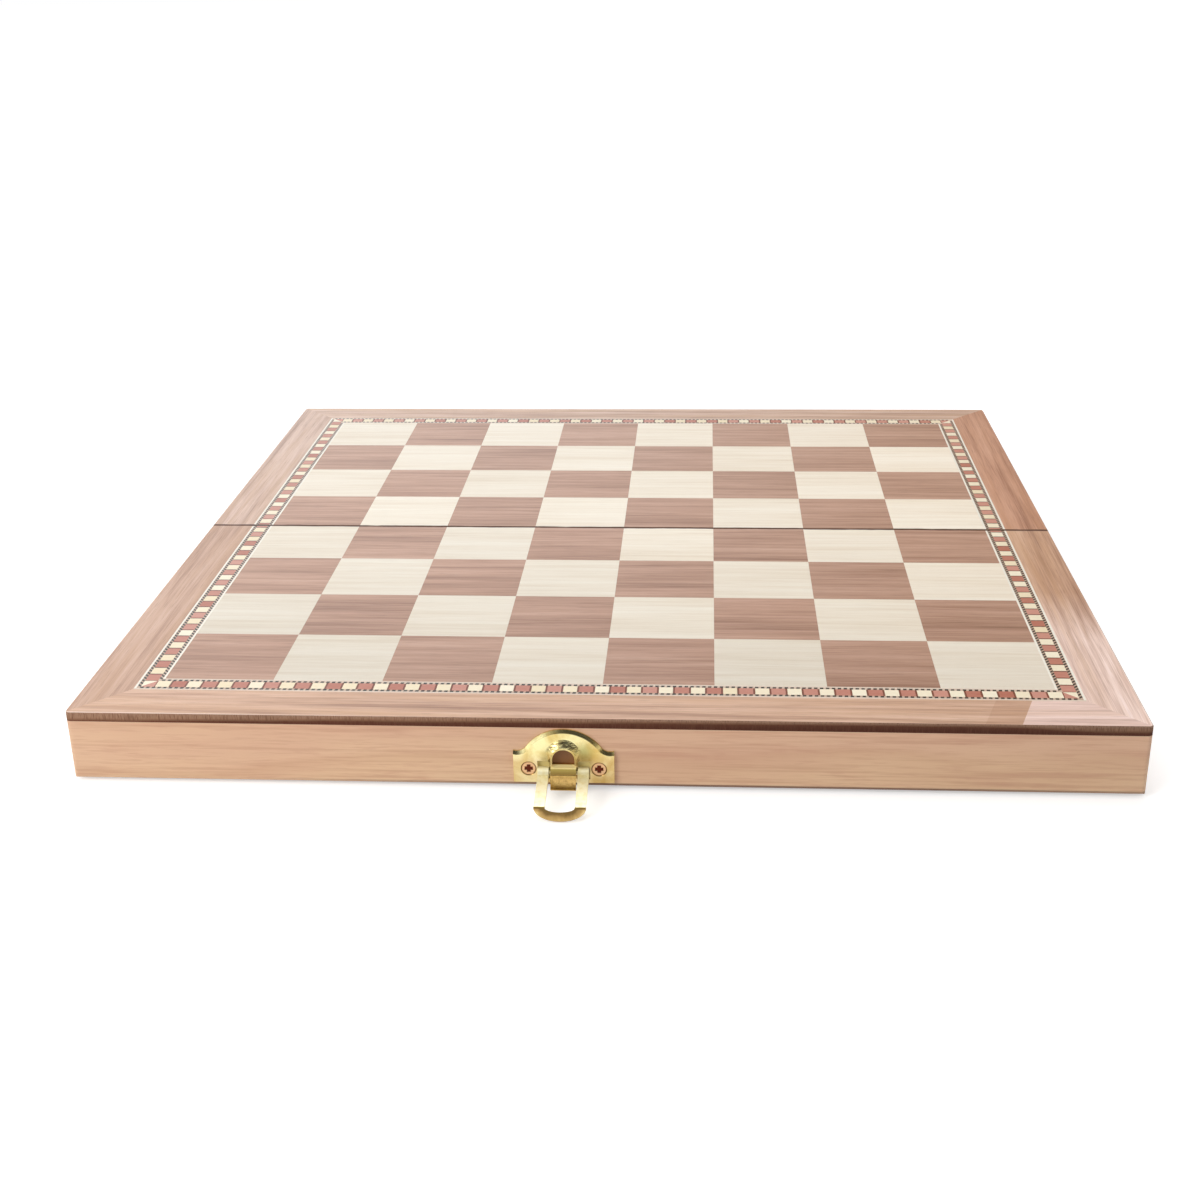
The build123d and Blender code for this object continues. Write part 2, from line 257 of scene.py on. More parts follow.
def shadeBesideSeam(tree, colour, whole, y):
    # painted shade along the seam, where the gap between the halves is dark; it fades with the distance from
    # the seam, and its edge wanders unevenly
    wander = centred(tree, pattern(tree, whole, *seamShadeLook["wander"]))
    away = calc(tree, "ADD", calc(tree, "ABSOLUTE", y), wander)
    return mixed(tree, band(tree, away, *seamShadeLook["seamShadeBand"]), colour, seamShadeLook["seamShadeColour"])


# Sawn edge of the fibreboard

boardLook = {
    "roughness": 0.8,
    "specular": 0.2,
    "heightBand": (wallHeight, surfaceHeight - 0.2),
    "fine": ((3.4, 3.4, 0.35), 4, 0.6),
    "fineSway": 0.35,
    "stops": [(0.0, tint(80, 42, 26)), (0.42, tint(94, 54, 38)), (0.56, tint(128, 90, 68)),
              (0.75, tint(154, 117, 92)), (1.0, tint(156, 120, 96))],
    "speck": tint(98, 62, 44),
    "speckBand": (0.46, 0.66, 0.0, 0.8),
    "burn": ((0.03, 0.03, 0.03), 3),
    "burnSway": 0.4,
    "burnTone": 0.3,
    # share of the height that is painted dark as shade, by the share of the way from the left end to the
    # right
    "border": [(0.07, 0.1), (0.16, 0.34), (0.29, 0.46), (0.4, 0.5), (0.57, 0.68), (0.78, 0.78), (0.88, 0.76),
               (0.95, 0.4)],
    "tones": (1.04, 0.74),  # at the left and right ends
    "relief": 0.12 * mm,
}


def sawnColour(tree, whole, x, z):
    # a dark band along the foot, painted shade where the edge meets the wall, short upright saw marks, and
    # darker where the saw ran hot
    marks = pattern(tree, whole, *boardLook["fine"])
    height = band(tree, z, *boardLook["heightBand"])
    height = calc(tree, "MULTIPLY_ADD", centred(tree, marks), boardLook["fineSway"], height)
    burn = centred(tree, pattern(tree, whole, *boardLook["burn"]))
    shares = [(place, (share, share, share, 1)) for place, share in boardLook["border"]]
    border = ramp(tree, band(tree, x, -halfBoard, halfBoard), shares)
    border = calc(tree, "MULTIPLY_ADD", burn, boardLook["burnSway"], border)
    height = calc(tree, "ADD", calc(tree, "SUBTRACT", height, border), 0.5)
    colour = ramp(tree, height, boardLook["stops"])
    colour = mixed(tree, band(tree, marks, *boardLook["speckBand"]), colour, boardLook["speck"])
    tone = band(tree, x, -halfBoard, halfBoard, *boardLook["tones"])
    return toned(tree, colour, calc(tree, "MULTIPLY_ADD", burn, boardLook["burnTone"], tone))


def fibreboardMaterial():
    material, tree, shader = newMaterial("sawn_fibreboard", boardLook["roughness"],
                                         {"Specular IOR Level": boardLook["specular"]})
    whole, x, y, z = millimetres(tree)
    marks = pattern(tree, whole, *boardLook["fine"])
    dress(tree, shader, sawnColour(tree, whole, x, z), marks, boardLook["relief"])
    return material


# Mitred frame of veneer

frameLook = {
    "stops": [(0.36, tint(158, 118, 96)), (0.45, tint(192, 152, 128)), (0.54, tint(216, 178, 153)),
              (0.66, tint(232, 198, 177))],
    "pore": tint(136, 94, 72),
    "poreShare": 0.45,
    "turnedBy": 400,  # the side strips are cut from another place in the sheet
    "tan": ((0.012, 0.28, 0.28), 3, 0.6),
    "tanFrom": (70, 30, 0),
    "tanBand": (0.46, 0.66, 0.0, 0.55),
    "tanColour": tint(205, 162, 128),
    "tones": (1.03, 0.95),  # painted light, falling off from the left end to the right: the tones at the two ends
    "edgeBelow": surfaceHeight - 0.01,  # the veneer's edge begins here
    "edge": (tint(232, 206, 190), tint(196, 160, 138)),  # the veneer's edge: a painted highlight at the left, and its plain edge colour from the middle on
    "edgeHighlightBand": (-110, -30),
    "backingBand": (-110, 10, surfaceHeight - 0.18, surfaceHeight - 0.05),  # the fibreboard shows below this
    # every strip is cut from its own sheet; these tones are partly the sheets' own colours and partly painted
    # light, lighter or darker as each strip caught the light
    "near": (1.03, 1.03, 1.02, 1),
    "far": (1.02, 1.09, 1.17, 1),
    "nearLeft": (0.84, 0.81, 0.8, 1),
    "farLeft": (0.98, 1.05, 1.15, 1),
    "nearRight": (1.42, 1.68, 2.06, 1),
    "nearRightBySeam": (1.02, 0.98, 0.93, 1),
    "farRight": (0.92, 0.75, 0.68, 1),
    "palingBand": (-55, -90),
    # the near strip is pieced with a dull and a pale sheet near its right end, along slanting joints
    "dull": (0.94, 0.9, 0.86, 1),
    "dullFrom": 104.3,
    "pale": (1.34, 1.54, 1.9, 1),
    "paleFrom": 113.9,
    "jointLean": 0.35,
    "jointsAt": -137.0,  # the y at which the joints stand at dullFrom and paleFrom
}


def stripToneAndLight(tree, x, y, onSide):
    # the tone of the strip that the point lies on: partly its sheet's colour and partly painted light
    right = above(tree, x, 0)
    far = above(tree, y, 0)
    paling = band(tree, y, *frameLook["palingBand"])
    nearRight = mixed(tree, paling, frameLook["nearRightBySeam"], frameLook["nearRight"])
    nearSide = mixed(tree, right, frameLook["nearLeft"], nearRight)
    farSide = mixed(tree, right, frameLook["farLeft"], frameLook["farRight"])
    inward = calc(tree, "SUBTRACT", y, frameLook["jointsAt"])
    along = calc(tree, "MULTIPLY_ADD", inward, -frameLook["jointLean"], x)
    nearStrip = mixed(tree, above(tree, along, frameLook["dullFrom"]), frameLook["near"], frameLook["dull"])
    nearStrip = mixed(tree, above(tree, along, frameLook["paleFrom"]), nearStrip, frameLook["pale"])
    longStrip = mixed(tree, far, nearStrip, frameLook["far"])
    return mixed(tree, onSide, longStrip, mixed(tree, far, nearSide, farSide))


def frameMaterial():
    # grain runs along each strip, and changes direction on the mitre, where |x| equals |y|
    material, tree, shader = lacquered("lacquered_frame_veneer")
    whole, x, y, z = millimetres(tree)
    onSide = above(tree, calc(tree, "ABSOLUTE", x), calc(tree, "ABSOLUTE", y))
    turned = joined(tree, y, calc(tree, "ADD", x, frameLook["turnedBy"]), z)
    vector = put(tree, "ShaderNodeMix", {0: onSide, 4: whole, 5: turned}, data_type="VECTOR").outputs[1]
    value, fibre, pores = veneerGrain(tree, vector)
    colour = ramp(tree, value, frameLook["stops"])
    tan = pattern(tree, shifted(tree, vector, frameLook["tanFrom"]), *frameLook["tan"])
    colour = mixed(tree, band(tree, tan, *frameLook["tanBand"]), colour, frameLook["tanColour"])
    colour = mixed(tree, product(tree, pores, frameLook["poreShare"]), colour, frameLook["pore"])
    # painted light falling off towards the right end
    colour = toned(tree, colour, band(tree, x, -halfBoard, halfBoard, *frameLook["tones"]))
    colour = mixed(tree, 1.0, colour, stripToneAndLight(tree, x, y, onSide), "MULTIPLY")
    # painted highlight along the veneer's edge, fading out towards the middle
    edge = mixed(tree, band(tree, x, *frameLook["edgeHighlightBand"]), *frameLook["edge"])
    colour = mixed(tree, below(tree, z, frameLook["edgeBelow"]), colour, edge)
    backing = below(tree, z, band(tree, x, *frameLook["backingBand"]))
    colour = mixed(tree, backing, colour, sawnColour(tree, whole, x, z))
    colour = shadeBesideSeam(tree, colour, whole, y)
    dress(tree, shader, colour, calc(tree, "SUBTRACT", fibre, pores), veneerLook["relief"])
    return material


# Squares

squareLook = {
    "size": halfField / 4,
    "seed": 3.0,
    "cutFrom": (900, 300, 100),  # spread of the places in the sheet that the squares are cut from
    "toneSpread": 0.07,
    "frontRowShadeBand": (-112, -76, 0.98, 1.08),  # painted shade: the row by the clasp is darker than those behind it
    "farSheenBand": (-70, 10),
    "dark": {
        "stops": [(0.34, tint(134, 97, 78)), (0.45, tint(162, 123, 102)), (0.54, tint(180, 141, 120)),
                  (0.68, tint(196, 160, 140))],
        "pore": tint(108, 72, 56),
        "poreShare": 0.45,
        "tones": (1.08, 0.98),  # at the left and right ends
        "farSheenTone": 1.03,  # painted sheen: the far squares are lighter than the near ones by this factor
    },
    "light": {
        "stops": [(0.36, tint(216, 202, 181)), (0.48, tint(226, 215, 197)), (0.62, tint(233, 225, 210))],
        "pore": tint(206, 186, 152),
        "poreShare": 0.12,
        "tones": (0.95, 1.04),
        # painted sheen on the far light squares
        "farSheenTone": 1.12,
    },
}


def squareMaterial(shade):
    # each square is cut from another place in the sheet, found from the cell that the point lies in
    look = squareLook[shade]
    material, tree, shader = lacquered("lacquered_" + shade + "_squares")
    whole, x, y, z = millimetres(tree)
    column = calc(tree, "FLOOR", calc(tree, "DIVIDE", x, squareLook["size"]))
    row = calc(tree, "FLOOR", calc(tree, "DIVIDE", y, squareLook["size"]))
    cell = joined(tree, column, row, squareLook["seed"])
    chance = put(tree, "ShaderNodeTexWhiteNoise", {"Vector": cell}).outputs
    vector = shifted(tree, whole, scaled(tree, chance["Color"], squareLook["cutFrom"]))
    value, fibre, pores = veneerGrain(tree, vector)
    colour = ramp(tree, value, look["stops"])
    colour = mixed(tree, product(tree, pores, look["poreShare"]), colour, look["pore"])
    spread = squareLook["toneSpread"] / 2
    tone = product(tree, band(tree, chance["Value"], 0, 1, 1 - spread, 1 + spread),
                   band(tree, x, -halfField, halfField, *look["tones"]),
                   band(tree, y, *squareLook["frontRowShadeBand"]),
                   band(tree, y, *squareLook["farSheenBand"], 1.0, look["farSheenTone"]))
    colour = shadeBesideSeam(tree, toned(tree, colour, tone), whole, y)
    dress(tree, shader, colour, calc(tree, "SUBTRACT", fibre, pores), veneerLook["relief"])
    return material


# Lining and points inside the trays

trayLook = {
    # each veneer's deep and pale colour
    "veneers": {
        "tray_lining_veneer": (tint(196, 164, 118), tint(222, 194, 150)),
        "dark_point_veneer": (tint(78, 44, 30), tint(112, 68, 46)),
        "light_point_veneer": (tint(222, 198, 152), tint(240, 222, 184)),
    },
    "grainBand": (0.38, 0.62),
    "roughness": 0.4,
    "relief": 0.03 * mm,
}


def trayMaterial(name):
    material, tree, shader = newMaterial(name, trayLook["roughness"])
    value, fibre = veneerGrain(tree, millimetres(tree)[0])[:2]
    colour = mixed(tree, band(tree, value, *trayLook["grainBand"]), *trayLook["veneers"][name])
    dress(tree, shader, colour, fibre, trayLook["relief"])
    return material


# Pine walls

pineLook = {
    "roughness": 0.5,
    "relief": 0.04 * mm,
    "ringPitch": 3.4,
    "ringCentre": (-34.0, -22.0),  # of the pith, across and up
    "wander": ((0.006, 0.02, 0.02), 2),
    "wanderBy": 16.0,
    "stops": [(0.0, tint(224, 186, 153)), (0.6, tint(217, 175, 143)), (0.88, tint(196, 148, 118)),
              (1.0, tint(222, 182, 150))],
    "blotch": ((0.01, 0.05, 0.05), 2),
    "blotchBy": 3.0,
    "paleBelow": (15.0, 3.0),
    "deepToPale": (0.1, 0.9),
    "deep": tint(215, 172, 141),
    "pale": tint(230, 196, 155),
    "plainShare": 0.6,
    "fibre": ((0.07, 3.2, 3.2), 3),
    "fibreBand": (0.4, 0.7, 0.0, 0.4),
    "streak": ((0.02, 0.9, 0.9), 4, 0.6),
    "streakBand": (0.52, 0.64, 0.0, 0.4),
    "streakColour": tint(186, 134, 108),
    "hair": ((0.1, 1.7, 1.7), 3, 0.6, 0.3),
    "hairBand": (0.5, 0.66, 0.0, 0.4),
    "hairColour": tint(196, 146, 120),
    "tones": (1.0, 0.9),  # painted shade, growing from the left end to the right: the tones at the two ends
}


def pineMaterial(name, alongY=False, underClasp=False):
    # growth rings: the distance from a wandering pith line, in steps of one ring, so ends show arcs
    material, tree, shader = newMaterial(name, pineLook["roughness"])
    whole, x, y, z = millimetres(tree)
    vector = joined(tree, y, x, z) if alongY else whole
    side, height = split(tree, vector)[1:]
    sway = product(tree, centred(tree, pattern(tree, vector, *pineLook["wander"])), pineLook["wanderBy"])
    across = calc(tree, "ADD", calc(tree, "SUBTRACT", side, pineLook["ringCentre"][0]), sway)
    up = calc(tree, "ADD", calc(tree, "SUBTRACT", height, pineLook["ringCentre"][1]), sway)
    ring = calc(tree, "FRACT", calc(tree, "DIVIDE", lengthOf(tree, across, up), pineLook["ringPitch"]))
    colour = ramp(tree, ring, pineLook["stops"])
    blotch = centred(tree, pattern(tree, vector, *pineLook["blotch"]))
    level = calc(tree, "MULTIPLY_ADD", blotch, pineLook["blotchBy"], band(tree, z, *pineLook["paleBelow"]))
    plain = mixed(tree, band(tree, level, *pineLook["deepToPale"]), pineLook["deep"], pineLook["pale"])
    colour = mixed(tree, pineLook["plainShare"], colour, plain)
    fibre = pattern(tree, vector, *pineLook["fibre"])
    colour = mixed(tree, band(tree, fibre, *pineLook["fibreBand"]), colour, pineLook["deep"])
    for kind in ("streak", "hair"):
        share = band(tree, pattern(tree, vector, *pineLook[kind]), *pineLook[kind + "Band"])
        colour = mixed(tree, share, colour, pineLook[kind + "Colour"])
    # painted shade growing towards the right end
    colour = toned(tree, colour, band(tree, x, -halfBoard, halfBoard, *pineLook["tones"]))
    if underClasp:
        # painted shade along the foot and in the recesses behind the clasp plate
        colour = shadeUnderPlate(tree, shadeAlongFoot(tree, colour, x, z), x, z)
    dress(tree, shader, colour, fibre, pineLook["relief"])
    return material


paintedShadeLook = {
    # painted shade at the wall's foot
    "foot": tint(104, 72, 56),
    "footBand": (1.0, 0.7),
    "leftBand": (-100, 0, 0.0, 0.9),
    "rightBand": (80, halfBoard, 1.0, 0.6),
    "plateShade": (tint(232, 214, 144), tint(128, 84, 46)),  # painted shade in the recesses behind the loop's eyes and behind the plate's hole
    # shares of the plate's height
    "plateShadeTop": 0.85,
    "plateShadeBottom": 0.05,
    "plateShadeRound": 0.9,
    # shares of half the plate's width
    "plateShadeReach": 0.8,
    "holeReach": 0.25,
}


def shadeAlongFoot(tree, colour, x, z):
    # painted shade along the rim's edge, where the wall stands just off the floor, hardly at the left end and
    # most from the middle on
    footShadeAmount = product(tree, band(tree, z, *paintedShadeLook["footBand"]), band(tree, x, *paintedShadeLook["leftBand"]),
                   band(tree, x, *paintedShadeLook["rightBand"]))
    return mixed(tree, footShadeAmount, colour, paintedShadeLook["foot"])


def shadeUnderPlate(tree, colour, x, z):
    # painted shade on the wood under the clasp plate, in an arch: height plus the round share times the reach
    # squared is below the top share
    low, high = boxOf("clasp_plate")
    reach = calc(tree, "DIVIDE", apart(tree, x, (low.x + high.x) / 2), (high.x - low.x) / 2)
    height = calc(tree, "DIVIDE", calc(tree, "SUBTRACT", z, low.z), high.z - low.z)
    arch = calc(tree, "MULTIPLY_ADD", product(tree, reach, reach), paintedShadeLook["plateShadeRound"], height)
    under = product(tree, below(tree, arch, paintedShadeLook["plateShadeTop"]),
                    above(tree, height, paintedShadeLook["plateShadeBottom"]), below(tree, reach, paintedShadeLook["plateShadeReach"]))
    plateShade = mixed(tree, below(tree, reach, paintedShadeLook["holeReach"]), *paintedShadeLook["plateShade"])
    return mixed(tree, under, colour, plateShade)


# Brass of the hinges, and of the plates where they are plain

brassLook = {
    "roughness": {"hinge_brass": 0.25, "hinge_screw_brass": 0.32},
    "blotch": ((0.16, 0.16, 0.16), 3, 0.5, 0.6),
    "blotchBand": (0.36, 0.64),
    "deep": tint(210, 184, 112),
    "pale": tint(234, 224, 168),
    "brush": ((0.25, 3.5, 3.5), 3),
    "relief": 0.02 * mm,
}


def brassColour(tree, whole):
    blotch = pattern(tree, whole, *brassLook["blotch"])
    colour = mixed(tree, band(tree, blotch, *brassLook["blotchBand"]), brassLook["deep"], brassLook["pale"])
    return colour, blotch


def brassMaterial(name):
    material, tree, shader = newMaterial(name, brassLook["roughness"][name], {"Metallic": 1.0})
    whole = millimetres(tree)[0]
    colour, blotch = brassColour(tree, whole)
    brush = pattern(tree, whole, *brassLook["brush"])
    dress(tree, shader, colour, calc(tree, "ADD", brush, blotch), brassLook["relief"])
    return material


# Loop of the clasp

loopLook = {
    "roughness": 0.42,
    "metallic": 0.6,
    "mottle": ((0.7, 0.7, 0.7), 3),
    "strap": (tint(247, 238, 204), tint(236, 220, 164)),
    "strapBand": (0.45, 0.75),
    "shadeByEye": ((0.92, 0.92, 0.85, 1), (0.8, 0.78, 0.68, 1)),  # painted shade on the straps by the plate: tones of the left and right straps, deeper on the right
    "eyeBand": (-151.0, -147.5),
    "lipFrom": -160.6,
    "lipBand": (-160.6, -162.8, 0.0, 0.68),
    # painted shade at the bend, rising to a painted highlight at the lip's edge
    "lip": [(0.0, tint(140, 120, 52)), (0.18, tint(112, 88, 38)), (0.38, tint(122, 94, 46)),
            (0.52, tint(166, 132, 76)), (0.68, tint(192, 158, 94)), (0.9, tint(238, 216, 152))],
    "lipMottle": 0.35,
    "endBand": (3.5, 7.5),  # distances from the middle between which a painted highlight makes the lip paler
    "endAfter": (0.04, 0.16),
    "endHighlight": 0.7,
    "brush": ((3.5, 0.25, 3.5), 3),
    "relief": 0.02 * mm,
}


def loopMaterial():
    # pale straps, and a lip painted from olive shade at the bend to a gold highlight at its edge, read from
    # the distance out
    material, tree, shader = newMaterial("loop_brass", loopLook["roughness"],
                                         {"Metallic": loopLook["metallic"]})
    whole, x, y, z = millimetres(tree)
    low, high = boxOf("clasp_loop")
    middle = (low.x + high.x) / 2
    mottle = pattern(tree, whole, *loopLook["mottle"])
    strap = mixed(tree, band(tree, mottle, *loopLook["strapBand"]), *loopLook["strap"])
    shadeByEye = mixed(tree, above(tree, x, middle), *loopLook["shadeByEye"])
    strap = mixed(tree, band(tree, y, *loopLook["eyeBand"]), strap, shadeByEye, "MULTIPLY")
    out = band(tree, y, *loopLook["lipBand"])
    atEnd = product(tree, band(tree, apart(tree, x, middle), *loopLook["endBand"]),
                    band(tree, out, *loopLook["endAfter"]))
    out = calc(tree, "MULTIPLY_ADD", atEnd, loopLook["endHighlight"], out)
    out = calc(tree, "MULTIPLY_ADD", centred(tree, mottle), loopLook["lipMottle"], out)
    colour = mixed(tree, below(tree, y, loopLook["lipFrom"]), strap, ramp(tree, out, loopLook["lip"]))
    brush = pattern(tree, whole, *loopLook["brush"])
    dress(tree, shader, colour, calc(tree, "ADD", brush, mottle), loopLook["relief"])
    return material


# Stamped plates of the clasp and the catch

def screwCentres(name):
    # the two plate screws lie at the ends of their node's box
    low, high = boxOf(name)
    radius = (high.z - low.z) / 2
    height = (low.z + high.z) / 2
    return [(low.x + radius, height), (high.x - radius, height)], radius


def fromPlace(tree, x, z, place):
    # distance in the wall's plane
    return lengthOf(tree, calc(tree, "SUBTRACT", x, place[0]), calc(tree, "SUBTRACT", z, place[1]))


def fromNearest(tree, x, z, places):
    # distance to the nearer of two places
    return calc(tree, "MINIMUM", *[fromPlace(tree, x, z, place) for place in places])


tongueLook = {
    "halfWidth": 3.55,
    "beyond": 145.95,  # distance from the seam where the plate's face ends and the tongue begins
    "below": 7.0,
    "heightBand": (1.4, 7.0),
    # painted reflection, shade and highlight up the tongue's height
    "stops": [(0.0, tint(182, 148, 82)), (0.3, tint(210, 176, 110)), (0.62, tint(194, 160, 94)),
              (0.7, tint(142, 116, 60)), (0.86, tint(176, 154, 86)), (0.92, tint(250, 228, 158)),
              (1.0, tint(255, 242, 186))],
    "mottle": ((1.0, 1.0, 1.0), 3, 0.6, 0.5),
    "mottleBand": (0.45, 0.65, 0.0, 0.6),
    "mottleBelow": (0.7, 0.6),
    "dark": tint(158, 122, 68),
    "mattBand": (6.2, 6.6),  # the top of the tongue is matt
    "metallic": (1.0, 0.25),
    "roughness": (0.2, 0.5),
}


def tongueLightAndShade(tree, whole, z):
    # the bent tongue, painted by its height: a dull, mottled painted reflection in front, painted shade at
    # the knee and a painted highlight on top
    height = band(tree, z, *tongueLook["heightBand"])
    mottle = pattern(tree, whole, *tongueLook["mottle"])
    amount = product(tree, band(tree, mottle, *tongueLook["mottleBand"]),
                     band(tree, height, *tongueLook["mottleBelow"]))
    return mixed(tree, amount, ramp(tree, height, tongueLook["stops"]), tongueLook["dark"])


claspLook = {
    # painted reflection of something dark, beside the hood
    "dull": tint(178, 172, 112),
    "reflectionAt": (5.4, 11.0),  # the painted reflection's place: across from the middle of the plate, and height
    "reflectionBand": (3.2, 0.5, 0.0, 0.8),
    # painted shade on the lower plate and towards its right side
    "lowShadeTone": (0.86, 0.79, 0.82, 1),
    "lowBand": (10.4, 7.6),
    "rightShadeTone": (0.93, 0.9, 0.86, 1),
    "rightBand": (-4, 8),
    "roundAbove": 3.25,  # height of the centre of the hole's round top over the screws
    "crease": ((0.8, 1.0, 2.4), 2, 0.6, 1.0),
    "creaseBand": (0.4, 0.56, 0.0, 0.85),
    "creaseInner": (3.7, 4.1),  # distances from the round's centre
    "creaseOuter": (5.4, 5.0),
    "creaseAbove": (1.5, 3.0),
    "creaseShade": tint(98, 76, 34),
    "hoodRougher": 0.04,
}


def claspShading(tree, colour, whole, x, z, middle, screwHeight):
    # a patch of painted reflection, painted shade on the foot and right side, and painted shade in creases in
    # an arc over the hole
    dullPlace = (middle + claspLook["reflectionAt"][0], claspLook["reflectionAt"][1])
    # painted reflection of something dark
    dull = band(tree, fromPlace(tree, x, z, dullPlace), *claspLook["reflectionBand"])
    colour = mixed(tree, dull, colour, claspLook["dull"])
    colour = mixed(tree, band(tree, z, *claspLook["lowBand"]), colour, claspLook["lowShadeTone"], "MULTIPLY")
    onRight = band(tree, calc(tree, "SUBTRACT", x, middle), *claspLook["rightBand"])
    colour = mixed(tree, onRight, colour, claspLook["rightShadeTone"], "MULTIPLY")
    roundHeight = screwHeight + claspLook["roundAbove"]
    fromRound = fromPlace(tree, x, z, (middle, roundHeight))
    over = calc(tree, "SUBTRACT", z, roundHeight)
    crease = product(tree, band(tree, pattern(tree, whole, *claspLook["crease"]), *claspLook["creaseBand"]),
                     band(tree, fromRound, *claspLook["creaseInner"]),
                     band(tree, fromRound, *claspLook["creaseOuter"]),
                     band(tree, over, *claspLook["creaseAbove"]))
    return mixed(tree, crease, colour, claspLook["creaseShade"])


stampedLook = {
    "roughness": 0.2,
    "relief": 0.03 * mm,
    "ringBeyond": 0.05,  # the ring of painted shade lies this far outside each screw
    "ringBand": (0.05, 0.25, 1.0, 0.0),
    "ringShade": tint(112, 84, 38),
    "ripple": ((0.5, 1.0, 1.6), 2, 0.5, 0.4),
    "rippleAbove": 10.0,
    "rippleBy": 7.0,
}


def stampedMaterial(name, screwNode, withTongue=False):
    # polished stamping: a ring of painted shade round each screw, where the head sits in its countersink, and
    # small ripples where the hood is raised
    material, tree, shader = newMaterial(name, stampedLook["roughness"], {"Metallic": 1.0})
    whole, x, y, z = millimetres(tree)
    colour, blotch = brassColour(tree, whole)
    centres, radius = screwCentres(screwNode)
    away = apart(tree, fromNearest(tree, x, z, centres), radius + stampedLook["ringBeyond"])
    colour = mixed(tree, band(tree, away, *stampedLook["ringBand"]), colour, stampedLook["ringShade"])
    raised = above(tree, calc(tree, "ABSOLUTE", y), tongueLook["beyond"])
    if withTongue:
        middle = (centres[0][0] + centres[1][0]) / 2
        colour = claspShading(tree, colour, whole, x, z, middle, centres[0][1])
        inWidth = below(tree, apart(tree, x, middle), tongueLook["halfWidth"])
        tongue = product(tree, inWidth, below(tree, z, tongueLook["below"]), raised)
        colour = mixed(tree, tongue, colour, tongueLightAndShade(tree, whole, z))
        matt = product(tree, tongue, band(tree, z, *tongueLook["mattBand"]))
        tree.links.new(band(tree, matt, 0, 1, *tongueLook["metallic"]), shader.inputs["Metallic"])
        hood = product(tree, raised, above(tree, z, tongueLook["below"]))
        rough = band(tree, matt, 0, 1, *tongueLook["roughness"])
        rough = calc(tree, "MULTIPLY_ADD", hood, claspLook["hoodRougher"], rough)
        tree.links.new(rough, shader.inputs["Roughness"])
    onHood = product(tree, raised, above(tree, z, stampedLook["rippleAbove"]))
    ripple = product(tree, pattern(tree, whole, *stampedLook["ripple"]), onHood)
    relief = calc(tree, "MULTIPLY_ADD", ripple, stampedLook["rippleBy"], blotch)
    dress(tree, shader, colour, relief, stampedLook["relief"])
    return material


# Screws of the plates, and the hinge pins

screwLook = {
    "roughness": 0.35,
    "metallic": 0.85,
    "relief": 0.03 * mm,
    "blotch": ((1.2, 1.2, 1.2), 3),
    "deep": tint(200, 152, 108),
    "pale": tint(230, 192, 150),
    # painted shade in the cross's recess
    "slotShade": tint(88, 34, 18),
    "armWidth": 0.3,  # half the width and half the length of the cross, against the head's radius
    "armLength": 0.62,
    "armEdge": 0.1,
    # painted shade round the head's edge, where it sits in its countersink
    "rim": tint(150, 108, 62),
    "rimBand": (-0.25, -0.05, 0.0, 0.7),  # from the head's edge
}


def plateScrewMaterial(name, screwNode):
    # coppery head, with painted shade in the recess of its cross and round its edge, found from the distance
    # to the screw's axis across and up
    material, tree, shader = newMaterial(name, screwLook["roughness"], {"Metallic": screwLook["metallic"]})
    whole, x, y, z = millimetres(tree)
    blotch = pattern(tree, whole, *screwLook["blotch"])
    colour = mixed(tree, blotch, screwLook["deep"], screwLook["pale"])
    centres, radius = screwCentres(screwNode)
    left, right = centres
    onRight = above(tree, x, (left[0] + right[0]) / 2)
    across = apart(tree, x, band(tree, onRight, 0, 1, left[0], right[0]))
    up = apart(tree, z, left[1])
    width = radius * screwLook["armWidth"]
    length = radius * screwLook["armLength"]
    edge = screwLook["armEdge"]
    arms = [product(tree, band(tree, one, width, width - edge), band(tree, other, length, length - edge))
            for one, other in ((across, up), (up, across))]
    colour = mixed(tree, calc(tree, "MAXIMUM", *arms), colour, screwLook["slotShade"])
    rimFrom, rimTo, start, end = screwLook["rimBand"]
    away = fromNearest(tree, x, z, centres)
    rim = band(tree, away, radius + rimFrom, radius + rimTo, start, end)
    dress(tree, shader, mixed(tree, rim, colour, screwLook["rim"]), blotch, screwLook["relief"])
    return material


pinLook = {
    "roughness": 0.3,
    "relief": 0.01 * mm,
    "lines": ((0.1, 6, 6), 3),
    "colours": (tint(176, 172, 166), tint(214, 211, 206)),
}


def steelMaterial():
    material, tree, shader = newMaterial("drawn_steel_wire", pinLook["roughness"], {"Metallic": 1.0})
    lines = pattern(tree, millimetres(tree)[0], *pinLook["lines"])
    dress(tree, shader, mixed(tree, lines, *pinLook["colours"]), lines, pinLook["relief"])
    return material


# Inlaid band: lines, dashes and tiles as thin pieces of veneer

